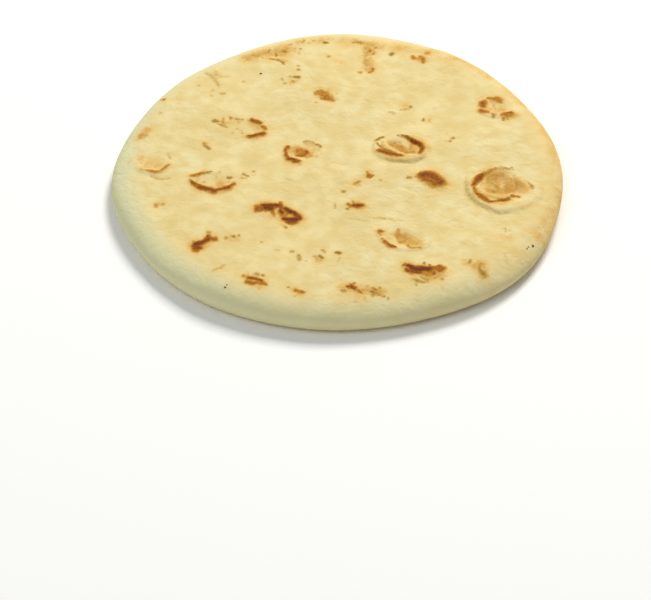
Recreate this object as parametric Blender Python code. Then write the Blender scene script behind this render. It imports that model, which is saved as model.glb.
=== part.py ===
"""Pita bread: one flat round loaf without a pocket, with a plump rim and sunken blisters on its top.

Metres, +Z up. The bread lies flat, and the origin is under its middle, on the surface it rests on.
"""

import math

import bmesh
import bpy

# The loaf
BREAD_RADIUS = 0.0891  # mean radius at the waist, the widest line of the rim
TOP_HEIGHT = 0.0106  # the top face, between its blisters
WAIST_HEIGHT = 0.0046
SHOULDER = 0.0100  # how far the rounding above the waist reaches inwards
HEEL = 0.0060  # how far the rounding below the waist reaches inwards

# The outline leaves a true circle by these waves: waves in a turn, height, phase
OUTLINE_WAVES = (
    (2, 0.0003, math.radians(118)),
    (3, 0.0012, math.radians(-115)),
    (4, 0.0002, math.radians(-79)),
    (5, 0.0002, math.radians(127)),
    (6, 0.0003, math.radians(77)),
    (8, 0.0003, math.radians(29)),
)

# Long swells of the top face: wavelength, height, direction, place of a crest along it
SWELLS = (
    (0.074, 0.00028, math.radians(20), 0.012),
    (0.058, 0.00022, math.radians(105), -0.006),
    (0.043, 0.00016, math.radians(160), 0.020),
)

# Burst blisters: centre x, centre y, half size in x and in y, height of the lip, depth of the middle
BLISTERS = (
    (0.0245, 0.0085, 0.0095, 0.0080, 0.0013, 0.0012),
    (0.0620, -0.0145, 0.0115, 0.0110, 0.0013, 0.0012),
    (0.0647, 0.0355, 0.0075, 0.0080, 0.0006, 0.0009),
    (-0.0153, 0.0070, 0.0070, 0.0070, 0.0007, 0.0010),
    (-0.0498, -0.0123, 0.0085, 0.0065, 0.0009, 0.0009),
    (-0.0740, -0.0003, 0.0070, 0.0060, 0.0006, 0.0008),
    (-0.0365, 0.0220, 0.0060, 0.0055, 0.0005, 0.0008),
    (0.0240, -0.0465, 0.0085, 0.0055, 0.0005, 0.0011),
)
LIP_WIDTH = 0.0024  # from a lip's crest to where it has sunk to a third

# The mesh
RINGS = 30  # rings of triangles in the top face
SHOULDER_STEPS = 5
HEEL_STEPS = 3

# The crust, in linear colour
CRUST_COLOUR = (0.823, 0.679, 0.328, 1.0)
CRUST_ROUGHNESS = 0.75


def outline_radius(angle):
    """The waist's distance from the centre in this direction."""
    return BREAD_RADIUS + sum(height * math.cos(count * angle - phase) for count, height, phase in OUTLINE_WAVES)


def swell_height(x, y):
    """The long swells of the top face at this place."""
    total = 0.0
    for length, height, direction, crest in SWELLS:
        along = x * math.cos(direction) + y * math.sin(direction)
        total += height * math.cos(2 * math.pi * (along - crest) / length)
    return total


def blister_height(x, y):
    """The blisters' raised lips and sunken middles at this place."""
    total = 0.0
    for centre_x, centre_y, half_x, half_y, lip, sink in BLISTERS:
        reach = math.hypot((x - centre_x) / half_x, (y - centre_y) / half_y)
        from_crest = (reach - 1) * min(half_x, half_y)
        total += lip * math.exp(-((from_crest / LIP_WIDTH) ** 2))
        total -= sink * max(0.0, 1 - reach * reach) ** 2
    return total


def ring_place(x, y):
    """Where a point of the divided hexagon goes: its ring's share of the radius, and its angle on that ring."""
    if x == 0 and y == 0:
        return 0.0, 0.0
    side_angle = math.radians(60)
    first_corner = math.radians(30)
    turn = math.atan2(y, x) - first_corner
    side = math.floor(turn / side_angle + 1e-6)
    into_side = turn - side * side_angle
    # A side is straight, so its points are nearer to the centre than its two corners are.
    share = math.hypot(x, y) * math.cos(into_side - side_angle / 2) / math.cos(side_angle / 2)
    along = math.hypot(x, y) * math.sin(into_side) / (share * math.sin(side_angle))
    return round(share * RINGS) / RINGS, first_corner + (side + along) * side_angle


def make_top_face(bm):
    """A hexagon of six triangles, divided evenly, with each ring drawn out to a circle."""
    bmesh.ops.create_circle(bm, segments=6, radius=1.0, cap_ends=True, cap_tris=True)
    bmesh.ops.subdivide_edges(bm, edges=bm.edges[:], cuts=RINGS - 1, use_grid_fill=True)
    for vert in bm.verts:
        share, angle = ring_place(vert.co.x, vert.co.y)
        radius = share * (outline_radius(angle) - SHOULDER)
        vert.co = (radius * math.cos(angle), radius * math.sin(angle), TOP_HEIGHT)


def rim_profile():
    """The rim's section below the top face, as (distance in from the waist, height), from the top down."""
    for step in range(1, SHOULDER_STEPS + 1):
        turn = math.radians(90) * (1 - step / SHOULDER_STEPS)
        rise = TOP_HEIGHT - WAIST_HEIGHT
        yield SHOULDER * (1 - math.cos(turn)), WAIST_HEIGHT + rise * math.sin(turn)
    for step in range(1, HEEL_STEPS + 1):
        turn = math.radians(90) * step / HEEL_STEPS
        yield HEEL * (1 - math.cos(turn)), WAIST_HEIGHT * (1 - math.sin(turn))


def make_rim(bm):
    """Extrudes the top face's edge down the rim's section and closes the underside with one flat face."""
    edge = [e for e in bm.edges if e.is_boundary]
    for inwards, height in rim_profile():
        made = bmesh.ops.extrude_edge_only(bm, edges=edge)["geom"]
        for vert in (part for part in made if isinstance(part, bmesh.types.BMVert)):
            angle = math.atan2(vert.co.y, vert.co.x)
            radius = outline_radius(angle) - inwards
            vert.co = (radius * math.cos(angle), radius * math.sin(angle), height)
        edge = [part for part in made if isinstance(part, bmesh.types.BMEdge)]
    bmesh.ops.contextual_create(bm, geom=edge)


def raise_relief(bm):
    """Lifts the swells and blisters, in full on the top face and fading out down to the waist."""
    for vert in bm.verts:
        lift = (vert.co.z - WAIST_HEIGHT) / (TOP_HEIGHT - WAIST_HEIGHT)
        if lift > 0:
            vert.co.z += lift * (swell_height(vert.co.x, vert.co.y) + blister_height(vert.co.x, vert.co.y))


def centre_on_origin(bm):
    """Puts the middle of the loaf's outer box over the origin."""
    xs = [vert.co.x for vert in bm.verts]
    ys = [vert.co.y for vert in bm.verts]
    to_middle = (-(min(xs) + max(xs)) / 2, -(min(ys) + max(ys)) / 2, 0)
    bmesh.ops.translate(bm, verts=bm.verts[:], vec=to_middle)


def crust_material():
    """Baked crust: pale straw yellow and matt."""
    material = bpy.data.materials.new("crust")
    material.use_nodes = True
    shader = material.node_tree.nodes["Principled BSDF"]
    shader.inputs["Base Color"].default_value = CRUST_COLOUR
    shader.inputs["Roughness"].default_value = CRUST_ROUGHNESS
    shader.inputs["Metallic"].default_value = 0.0
    return material


def make_pita_bread():
    """The whole loaf as one closed solid."""
    bm = bmesh.new()
    make_top_face(bm)
    make_rim(bm)
    raise_relief(bm)
    centre_on_origin(bm)
    bmesh.ops.recalc_face_normals(bm, faces=bm.faces[:])
    mesh = bpy.data.meshes.new("pita_bread")
    bm.to_mesh(mesh)
    bm.free()
    mesh.shade_smooth()
    mesh.materials.append(crust_material())
    bread = bpy.data.objects.new("pita_bread", mesh)
    bpy.context.scene.collection.objects.link(bread)


for old in list(bpy.data.objects):
    bpy.data.objects.remove(old)
make_pita_bread()
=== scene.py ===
# %% [markdown]
# # A pita bread
# A pita without a pocket is a disc of soft dough that is baked for a few minutes on a very hot
# floor. It stays pale, because the bake is so short, and only what stands proud gets toasted: the
# lips of blisters that rose and fell back, and the small bumps between them. This lesson makes
# one such bread: the dough disc, its swells and blisters, the map of where it was toasted, and a
# crust material that reads that map.

# %% [markdown]
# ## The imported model
# The solid of the bread is already made and measured. It is loaded first, as a fixed frame, and
# its box says how large the detailed bread has to be and where it lies.

import math

import bpy
import numpy as np
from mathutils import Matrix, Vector, noise


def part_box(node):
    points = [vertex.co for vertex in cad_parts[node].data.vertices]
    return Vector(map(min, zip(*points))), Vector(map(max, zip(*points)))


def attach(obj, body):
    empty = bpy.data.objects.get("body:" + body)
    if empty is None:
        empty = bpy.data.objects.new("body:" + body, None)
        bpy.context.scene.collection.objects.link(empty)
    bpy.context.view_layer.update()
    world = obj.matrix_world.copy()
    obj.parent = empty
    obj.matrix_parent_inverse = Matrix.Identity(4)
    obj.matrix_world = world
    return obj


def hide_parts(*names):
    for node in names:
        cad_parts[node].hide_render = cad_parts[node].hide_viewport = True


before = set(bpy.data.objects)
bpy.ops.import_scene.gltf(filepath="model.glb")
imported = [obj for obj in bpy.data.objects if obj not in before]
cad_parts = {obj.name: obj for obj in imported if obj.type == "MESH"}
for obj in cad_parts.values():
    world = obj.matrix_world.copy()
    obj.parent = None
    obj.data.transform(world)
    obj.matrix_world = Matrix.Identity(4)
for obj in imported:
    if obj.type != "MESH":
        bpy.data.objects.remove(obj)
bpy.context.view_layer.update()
MM = 0.001
loaf_low, loaf_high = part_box("pita_bread")
print("packed loaf, mm:", [round(side / MM, 1) for side in loaf_high - loaf_low])

# %% [markdown]
# ## The camera
# Bread on a table is seen from a sitting eye, about 40 degrees above the table. A long lens from
# 0.75 m keeps the round loaf from looking stretched towards the viewer. The loaf is placed high in
# the picture by aiming at a point of the table in front of it, so the lens needs no shift.

# %% Camera
AIM = Vector((-0.0048, -0.0759, 0.0055))
EYE_DISTANCE = 0.749
EYE_ELEVATION = math.radians(43.4)

lens = bpy.data.cameras.new("camera")
lens.lens = 111.6
lens.sensor_width = 36
camera = bpy.data.objects.new("camera", lens)
camera.location = AIM + EYE_DISTANCE * Vector((0, -math.cos(EYE_ELEVATION), math.sin(EYE_ELEVATION)))
camera.rotation_euler = (math.radians(90) - EYE_ELEVATION, 0, 0)
bpy.context.scene.collection.objects.link(camera)
bpy.context.scene.camera = camera
print("camera, m:", [round(value, 3) for value in camera.location])

# %% [markdown]
# ## Floor and light
# Food is photographed on a bright seamless floor with large soft lamps. The main lamp stands
# behind the loaf and to the right, so that light skims over the top and every lip and hollow gets
# a lit side and a shaded one. A weaker lamp in front keeps the near rim readable. Both are area
# lamps, because a large lamp gives the soft edges that bread needs. The Standard view keeps the
# colours of the crust as they are set.


# %% Floor and lamps
def linear(hex_colour, alpha=1.0):
    """An sRGB colour such as "#ead79b" as linear red, green, blue and alpha."""
    parts = [int(hex_colour[i : i + 2], 16) / 255 for i in (1, 3, 5)]
    return [v / 12.92 if v <= 0.04045 else ((v + 0.055) / 1.055) ** 2.4 for v in parts] + [alpha]


def soft_lamp(name, place, size, watts, tint):
    """A square area lamp at this place that points at the loaf."""
    light = bpy.data.lights.new(name, "AREA")
    light.size = size
    light.energy = watts
    light.color = linear(tint)[:3]
    lamp = bpy.data.objects.new(name, light)
    lamp.location = place
    lamp.rotation_euler = (-Vector(place)).to_track_quat("-Z", "Y").to_euler()
    bpy.context.scene.collection.objects.link(lamp)
    return lamp


soft_lamp("main_lamp", (0.60, 1.27, 1.50), 0.75, 37.8, "#fffaf0")
soft_lamp("front_lamp", (-1.1, -0.95, 1.85), 1.35, 13.2, "#fcfffa")

world = bpy.data.worlds.new("studio")
world.use_nodes = True
world.node_tree.nodes["Background"].inputs["Color"].default_value = linear("#f8fffd")
world.node_tree.nodes["Background"].inputs["Strength"].default_value = 0.29
bpy.context.scene.world = world
bpy.context.scene.view_settings.view_transform = "Standard"

bpy.ops.object.select_all(action="DESELECT")
bpy.ops.mesh.primitive_plane_add(size=6, location=(0, 0, 0))
floor = bpy.context.object
floor.name = "floor"
floor_paint = bpy.data.materials.new("matt_white_board")
floor_paint.use_nodes = True
floor_paint.node_tree.nodes["Principled BSDF"].inputs["Base Color"].default_value = linear("#fcfcff")
floor_paint.node_tree.nodes["Principled BSDF"].inputs["Roughness"].default_value = 0.9
floor.data.materials.append(floor_paint)

# %% [markdown]
# ## The dough disc
# On the real bread this is a ball of dough, pressed flat by hand. A disc could be a cylinder, but
# its end is one flat face or a fan of slivers, and neither can carry small blisters. A hexagon of
# six triangles, divided evenly, gives triangles of one size all over. Each of its hexagonal rings
# is then drawn out to a circle, and on to the loaf's own outline, which a few waves take a
# millimetre off round.

# %% Sizes of the loaf
LOAF_RADIUS = 0.0891
TOP_HEIGHT = 0.0106
WAIST_HEIGHT = 0.0046
SHOULDER = 0.0100
HEEL = 0.0060
TOP_RINGS = 144
UNDERSIDE_RINGS = 72
OUTLINE_WAVES = (
    (2, 0.0003, math.radians(118)),
    (3, 0.0012, math.radians(-115)),
    (4, 0.0002, math.radians(-79)),
    (5, 0.0002, math.radians(127)),
    (6, 0.0003, math.radians(77)),
    (8, 0.0003, math.radians(29)),
)


def outline_radius(angle):
    """The waist's distance from the centre in each direction."""
    return LOAF_RADIUS + sum(height * np.cos(count * angle - phase) for count, height, phase in OUTLINE_WAVES)


# %% Read and write the points of a mesh
def points_of(piece):
    """The points of a mesh, one row each."""
    flat = np.empty(len(piece.data.vertices) * 3)
    piece.data.vertices.foreach_get("co", flat)
    return flat.reshape(-1, 3)


def set_points(piece, points):
    piece.data.vertices.foreach_set("co", points.ravel())
    piece.data.update()


# %% A divided hexagon, drawn out to the outline
SIDE_ANGLE = math.radians(60)
FIRST_CORNER = math.radians(30)


def dough_face(name, rings, inset, height):
    """A flat face of even triangles whose edge lies this far inside the loaf's outline."""
    bpy.ops.object.select_all(action="DESELECT")
    bpy.ops.mesh.primitive_circle_add(vertices=6, radius=1, fill_type="TRIFAN")
    face = bpy.context.object
    face.name = name
    bpy.ops.object.mode_set(mode="EDIT")
    bpy.ops.mesh.select_all(action="SELECT")
    bpy.ops.mesh.subdivide(number_cuts=11)
    bpy.ops.mesh.subdivide(number_cuts=rings // 12 - 1)
    bpy.ops.object.mode_set(mode="OBJECT")
    points = points_of(face)
    distance = np.hypot(points[:, 0], points[:, 1])
    turn = np.arctan2(points[:, 1], points[:, 0]) - FIRST_CORNER
    side = np.floor(turn / SIDE_ANGLE + 1e-5)
    into_side = turn - side * SIDE_ANGLE
    # A side is straight, so its points are nearer to the centre than its two corners are.
    share = distance * np.cos(into_side - SIDE_ANGLE / 2) / math.cos(SIDE_ANGLE / 2)
    along = distance * np.sin(into_side) / (np.maximum(share, 1e-9) * math.sin(SIDE_ANGLE))
    angle = FIRST_CORNER + (side + along) * SIDE_ANGLE
    radius = np.round(share * rings) / rings * (outline_radius(angle) - inset)
    set_points(face, np.column_stack((radius * np.cos(angle), radius * np.sin(angle), np.full(len(angle), height))))
    return face


loaf = dough_face("pita_loaf", TOP_RINGS, SHOULDER, TOP_HEIGHT)
underside = dough_face("underside", UNDERSIDE_RINGS, HEEL, 0.0)
print("top face:", len(loaf.data.polygons), "triangles; underside:", len(underside.data.polygons))

# %% [markdown]
# ## The plump rim
# The edge of a flatbread is a soft roll: its upper side is wide and round, where the crumb has
# swollen, and its lower side is tighter, where the dough sat on the oven floor. It is made as by
# hand: the face's edge is extruded step after step and scaled to the next ring of the roll's
# section. The underside is then joined on by bridging the two open edges.

# %% Extrude the rim
SHOULDER_STEPS = 12
HEEL_STEPS = 5


def rim_sections():
    """The roll's section below the top face: how far inside the waist, and how high."""
    for step in range(1, SHOULDER_STEPS + 1):
        turn = math.radians(90) * (1 - step / SHOULDER_STEPS)
        yield SHOULDER * (1 - math.cos(turn)), WAIST_HEIGHT + (TOP_HEIGHT - WAIST_HEIGHT) * math.sin(turn)
    for step in range(1, HEEL_STEPS):
        turn = math.radians(90) * step / HEEL_STEPS
        yield HEEL * (1 - math.cos(turn)), WAIST_HEIGHT * (1 - math.sin(turn))


bpy.ops.object.select_all(action="DESELECT")
loaf.select_set(True)
bpy.context.view_layer.objects.active = loaf
bpy.ops.object.mode_set(mode="EDIT")
bpy.ops.mesh.select_mode(type="EDGE")
bpy.ops.mesh.select_all(action="DESELECT")
bpy.ops.mesh.select_non_manifold()
inset_now, height_now = SHOULDER, TOP_HEIGHT
for inset, height in rim_sections():
    wider = (LOAF_RADIUS - inset) / (LOAF_RADIUS - inset_now)
    bpy.ops.mesh.extrude_region_move(TRANSFORM_OT_translate={"value": (0, 0, height - height_now)})
    bpy.ops.transform.resize(value=(wider, wider, 1), center_override=(0, 0, 0))
    inset_now, height_now = inset, height
bpy.ops.object.mode_set(mode="OBJECT")

# %% Close the underside
underside.select_set(True)
bpy.ops.object.join()
bpy.ops.object.mode_set(mode="EDIT")
bpy.ops.mesh.select_all(action="DESELECT")
bpy.ops.mesh.select_non_manifold()
bpy.ops.mesh.bridge_edge_loops()
bpy.ops.mesh.select_all(action="SELECT")
bpy.ops.mesh.normals_make_consistent(inside=False)
bpy.ops.object.mode_set(mode="OBJECT")
triangles = sum(len(face.vertices) - 2 for face in loaf.data.polygons)
print("loaf:", len(loaf.data.vertices), "points,", triangles, "triangles")

# %% [markdown]
# ## A flat map of the crust
# A picture of the crust can only be spread on the loaf through a flat map. Unwrapping by angle
# would cut the rim into strips, so the map is laid by a rule instead: each point goes as far from
# the centre of its disc as it is from the pole of the loaf, measured over the surface. The top
# and its shoulder make the large disc, because the eye goes there, and the underside and its heel
# make the small one.

# %% Lay the map
TOP_DISC = (0.365, 0.365, 0.355)
UNDERSIDE_DISC = (0.785, 0.785, 0.205)


def lay_map(piece):
    """Two discs, each given by its centre and radius on the map."""
    points = points_of(piece)
    radius = np.hypot(points[:, 0], points[:, 1])
    corners = np.empty(len(piece.data.loops), int)
    piece.data.loops.foreach_get("vertex_index", corners)
    face_of_corner = np.repeat(np.arange(len(piece.data.polygons)), [f.loop_total for f in piece.data.polygons])
    middle = np.bincount(face_of_corner, points[corners, 2]) / np.bincount(face_of_corner)
    on_top = (middle > WAIST_HEIGHT)[face_of_corner]
    spread = np.empty((len(corners), 2))
    for disc, roll, level, chosen in (
        (TOP_DISC, SHOULDER, TOP_HEIGHT, on_top),
        (UNDERSIDE_DISC, HEEL, 0.0, ~on_top),
    ):
        flat_part = LOAF_RADIUS - roll
        distance = np.minimum(radius, flat_part) + np.hypot(np.maximum(radius - flat_part, 0), points[:, 2] - level)
        share = disc[2] * distance / distance[corners[chosen]].max() / np.maximum(radius, 1e-9)
        spread[chosen] = (points[:, :2] * share[:, None] + disc[:2])[corners[chosen]]
    layer = piece.data.uv_layers.new(name="OFBake")
    layer.data.foreach_set("uv", spread.ravel())


lay_map(loaf)

# %% [markdown]
# ## Swells and skin
# A real loaf is never flat: gas lifts it in long low swells, and the skin dries into fine unrest.
# The long swells are three slow waves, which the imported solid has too. The finer unrest comes
# from Displace modifiers that read a cloud pattern, once for lumps as wide as a fingertip and
# once for wrinkles. A vertex group keeps them off the underside, which lies flat.

# %% Long swells
SWELLS = (
    (0.074, 0.00028, math.radians(20), 0.012),
    (0.058, 0.00022, math.radians(105), -0.006),
    (0.043, 0.00016, math.radians(160), 0.020),
)


def smooth_step(value):
    """0 below 0, 1 above 1, and a soft turn between."""
    value = np.clip(value, 0, 1)
    return value * value * (3 - 2 * value)


points = points_of(loaf)
loaf_radius = np.hypot(points[:, 0], points[:, 1])
top_share = smooth_step((points[:, 2] - WAIST_HEIGHT) / (TOP_HEIGHT - WAIST_HEIGHT))
for length, height, direction, crest in SWELLS:
    along = points[:, 0] * math.cos(direction) + points[:, 1] * math.sin(direction)
    points[:, 2] += top_share * height * np.cos(2 * math.pi * (along - crest) / length)
set_points(loaf, points)

# %% Lumps and wrinkles
SKIN_UNREST = (
    ("lumps", 0.011, 0.00022),
    ("wrinkles", 0.0035, 0.00010),
)

skin_group = loaf.vertex_groups.new(name="skin")
skin_share = np.where(points[:, 2] > 0.0005, 0.35 + 0.65 * top_share, 0)
for index, share in enumerate(skin_share):
    if share > 0:
        skin_group.add([index], share, "REPLACE")
for name, size, height in SKIN_UNREST:
    clouds = bpy.data.textures.new(name, "CLOUDS")
    clouds.noise_scale = size
    clouds.noise_depth = 1
    push = loaf.modifiers.new(name, "DISPLACE")
    push.texture = clouds
    push.texture_coords = "LOCAL"
    push.vertex_group = "skin"
    push.mid_level = 0.5
    push.strength = 2 * height
    bpy.ops.object.modifier_apply(modifier=name)
print("skin, mm:", [round(v, 2) for v in (points_of(loaf).max(0) - points_of(loaf).min(0)) / MM])

# %% [markdown]
# ## Marks drawn as lines
# A blister's lip, a fold and a scorch are all marks that follow a line of their own. Each is
# given by the few stops that its line runs through: a place in millimetres from the middle of the
# loaf, and the mark's half width there. A smooth curve is drawn through the stops. What a point
# of the skin gets then depends only on its distance from the line. Dough has no clean edges, so
# the skin's own places are first shaken a little by noise, and a line drawn on them wavers and
# frays as a real one does.

# %% Lines on the skin
def smooth_line(stops):
    """Points every 0.3 mm on a curve through the stops, each with its half width."""
    stops = np.array([stops[0], *stops, stops[-1]], float)
    found = [stops[1:2]]
    for before, start, end, after in zip(stops, stops[1:], stops[2:], stops[3:]):
        count = max(1, int(np.hypot(*(end - start)[:2]) / 0.3))
        t = (np.arange(1, count + 1) / count)[:, None]
        leave, arrive = (end - before) / 2, (after - start) / 2
        found.append(
            (2 * t**3 - 3 * t**2 + 1) * start
            + (t**3 - 2 * t**2 + t) * leave
            + (3 * t**2 - 2 * t**3) * end
            + (t**3 - t**2) * arrive
        )
    return np.concatenate(found)


def shaken(places, size, reach):
    """The places, each moved by noise of this size, by about this reach."""
    return places + reach * np.array([noise.noise_vector((x / size, y / size, size))[:2] for x, y in places])


def stroke(places, line, sharpness=2):
    """1 on the line, falling past its half width: softly at sharpness 2, and like a step at 5."""
    reach = 2.5 * line[:, 2].max()
    low, high = line[:, :2].min(0) - reach, line[:, :2].max(0) + reach
    near = np.all((places > low) & (places < high), axis=1)
    gap = np.full(near.sum(), np.inf)
    for x, y, half_width in line:
        gap = np.minimum(gap, np.hypot(places[near, 0] - x, places[near, 1] - y) / half_width)
    shade = np.zeros(len(places))
    shade[near] = np.exp(-(gap**sharpness))
    return shade


points = points_of(loaf)
places = points[:, :2] / MM
swayed = shaken(places, 3.6, 0.3)
frayed = shaken(swayed, 1.5, 0.35)
print("the skin's places waver by up to", round(float(np.abs(frayed - places).max()), 2), "mm")

# %% [markdown]
# ## Blisters
# Where steam lifted the skin and let it fall again, the bread keeps a ring: a raised lip, toasted
# where it stood nearest to the oven's roof, and a sunken, wrinkled middle that stayed pale or
# turned peach. Eight such blisters show. Each has its own lips, hollows and creases, because no
# two fell in the same way. A lip is a low cushion: nearly flat on top, with a steep foot, where
# the lifted skin meets the flat again. Heights, depths and half widths are in millimetres.

# %% Lips of the blisters
LIPS = (
    # The large eye right of the middle: a cushion round its front, a ridge at its right.
    (0.95, (14.9, 12.6, 0.8), (14.6, 9.6, 1.3), (15.8, 5.4, 2.3), (19.6, 2.4, 2.7), (25.5, 1.2, 2.2), (31, 2.2, 1.8)),
    (0.85, (31, 2.2, 1.8), (33.6, 5.6, 1.3), (33.6, 9.2, 1.2), (31.2, 12.2, 1.3), (28, 15, 1.0), (24.5, 16.4, 0.7)),
    # The largest, near the right edge, with a soft mound beside it.
    (0.95, (57, -7, 0.9), (53.4, -10.5, 1.5), (51.9, -15, 2.2), (53, -20, 2.6), (56, -24.6, 2.9), (60.5, -27.4, 3.3)),
    (0.95, (60.5, -27.4, 3.3), (65.5, -27.5, 3.0), (69.5, -26, 2.6)),
    (0.60, (70, -26, 2.4), (74, -22.5, 3.0), (76.3, -18.5, 2.6), (76, -15, 1.6)),
    (0.35, (57, -7.2, 0.8), (59.5, -5, 0.8), (61.5, -4.2, 0.8), (65, -4.2, 0.8), (68.5, -4.8, 0.7)),
    # Far right.
    (0.42, (59.8, 41, 0.9), (58.4, 37.5, 1.3), (58, 33, 1.3), (62, 29.4, 1.4), (68.5, 29.4, 1.5), (71.6, 33, 1.1)),
    (0.28, (71.6, 33, 1.1), (69.8, 38.6, 1.0), (65, 41.2, 1.1)),
    # Left of the middle.
    (0.45, (-20.4, 10, 0.8), (-21.7, 7, 1.0), (-21.3, 3, 1.2), (-18.6, 0.6, 1.2), (-15.5, -0.6, 1.1)),
    (0.28, (-14, 12.8, 0.7), (-11, 12, 0.7), (-8, 9.9, 0.8), (-7.3, 6.6, 0.8), (-9.2, 3, 0.8)),
    # Left, a wide one.
    (0.48, (-58.6, -11.8, 0.7), (-56.6, -14.6, 1.0), (-53, -17, 1.3), (-49, -18.8, 1.4), (-44, -17, 1.3), (-41.2, -14, 0.8)),
    (0.30, (-58.4, -10.4, 0.7), (-56, -8.6, 0.8), (-52, -7, 0.8), (-47, -7.4, 0.6)),
    # Near the left edge.
    (0.42, (-80.6, -0.5, 0.8), (-79, -4.8, 1.0), (-76, -6.6, 1.3), (-71.5, -7.2, 1.3), (-68.4, -4.6, 1.1), (-66.9, -1, 0.8)),
    (0.22, (-84, 2, 0.8), (-84.4, -1.5, 0.8)),
    # Far left.
    (0.36, (-36.4, 27.4, 0.8), (-33, 25.8, 1.0), (-30, 22.4, 1.0), (-30.6, 18.4, 1.2), (-34, 16.6, 1.2), (-38.5, 16.6, 0.8)),
    # In front of the middle, a shallow one.
    (0.36, (14.6, -42.4, 0.8), (15.2, -46, 0.9), (17.6, -49, 1.0), (21.6, -51.6, 1.1), (28, -52.2, 1.1), (33.4, -49.6, 0.9)),
)

# %% Folds, bumps, hollows and creases
FOLDS = (
    (0.65, (17.4, 12, 0.9), (17.4, 10.6, 1.0), (18.6, 8.9, 1.1), (21, 6.8, 1.1), (24.5, 4.5, 1.0)),
    (0.30, (24.8, 13, 1.0), (25.2, 9.5, 0.9), (26.6, 6.6, 0.8)),
    (0.25, (29.6, 9, 1.0), (29.2, 6.6, 0.9)),
    (0.60, (55, -12.6, 0.8), (55, -16, 0.9), (56, -19.4, 1.0), (59, -20.7, 1.1), (62, -21, 1.1), (67, -20, 0.9)),
    (0.35, (61.5, -7, 0.8), (60.6, -11, 0.9), (62, -14, 0.8)),
    (0.35, (66.2, -8.5, 0.9), (66, -12.5, 1.0), (66.4, -16, 0.9)),
    (0.30, (70, -10, 1.1), (71.2, -14, 1.1), (71.4, -18, 1.0)),
    (0.35, (-16, 6.6, 1.8), (-14, 5.4, 1.8)),
    (0.32, (-54, -14.8, 0.7), (-51, -15.4, 0.7), (-48.3, -15.8, 0.7), (-45, -14.8, 0.7)),
    (0.60, (32.6, -9, 2.2), (35.5, -9.6, 2.6), (39, -12.4, 2.4)),
    (0.35, (35, -12.6, 2.2), (37.6, -13.6, 2.0)),
    (0.30, (-30, -28.4, 1.4), (-25.5, -27.5, 1.4)),
    (0.32, (-20.5, -28.8, 1.2), (-16.6, -32.4, 1.4), (-19.4, -35, 1.3)),
    (0.32, (-54, -50.4, 1.6), (-52.4, -48.2, 1.4), (-48.4, -46.2, 1.2)),
    (0.30, (3.6, -26.8, 1.2), (8, -26.8, 1.5)),
    (0.35, (24.6, -62, 1.4), (30, -63.6, 1.8), (38, -63.2, 1.4)),
    (0.28, (-34, -69, 1.4), (-28.6, -70.4, 1.4)),
    (0.28, (-8, 43.5, 2.0), (-4, 40.6, 2.0)),
    (0.25, (2.6, -72.8, 1.4), (6, -74, 1.4)),
    (0.22, (32, 69, 1.4), (35.4, 67.4, 1.4)),
)
HOLLOWS = (
    # depth, middle, half sizes
    (0.95, (25, 9.6), (7.4, 5.8)),
    (1.05, (62.5, -13.6), (9, 8.5)),
    (0.42, (65, 35.4), (5.5, 5)),
    (0.32, (-14.5, 6.2), (6.2, 5.6)),
    (0.48, (-50, -12.5), (8.2, 4.4)),
    (0.38, (-74.2, -1), (6.2, 4.8)),
    (0.28, (-35, 21.6), (5, 4.2)),
    (0.70, (24.5, -45.6), (8, 5.2)),
    (0.25, (-27, -34), (13, 5)),
    (0.25, (36, -18.5), (10, 4)),
)
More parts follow.
